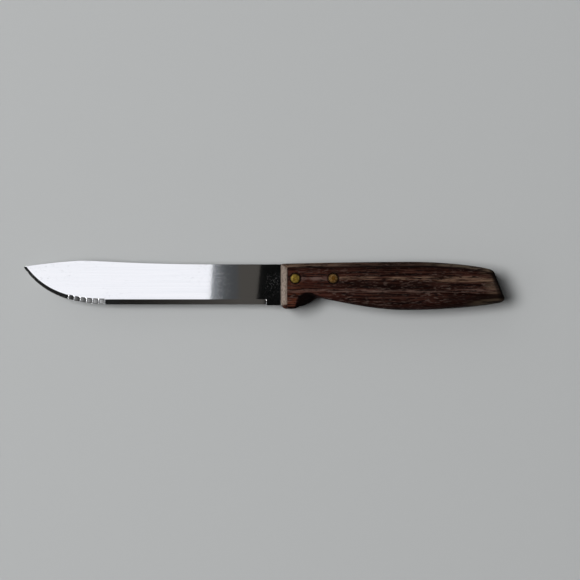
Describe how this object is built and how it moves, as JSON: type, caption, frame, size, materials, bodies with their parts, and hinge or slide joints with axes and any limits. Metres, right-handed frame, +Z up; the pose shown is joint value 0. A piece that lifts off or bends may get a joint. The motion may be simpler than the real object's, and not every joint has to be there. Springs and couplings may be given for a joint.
{
  "type": "carving knife",
  "caption": "Carving knife: broad stamped steel blade with a humped spine and a short scalloped belly, half tang, and a wooden handle with a finger notch and brass cutler's rivets.",
  "frame": {"origin": "under the middle of the knife's outline, on the surface that it lies on", "axes": "+X from point to butt, +Y from cutting edge to spine, +Z up through the side of the knife"},
  "size_m": [0.28, 0.0288, 0.018],
  "materials": {
    "blade_steel": "satin",
    "handle_wood": "satin",
    "rivet_brass": "satin"
  },
  "bodies": {
    "root": {"blade": "blade_steel", "handle": "handle_wood", "front_rivet_tube": "rivet_brass", "front_rivet_pin": "rivet_brass", "rear_rivet_tube": "rivet_brass", "rear_rivet_pin": "rivet_brass"}
  },
  "joints": []
}
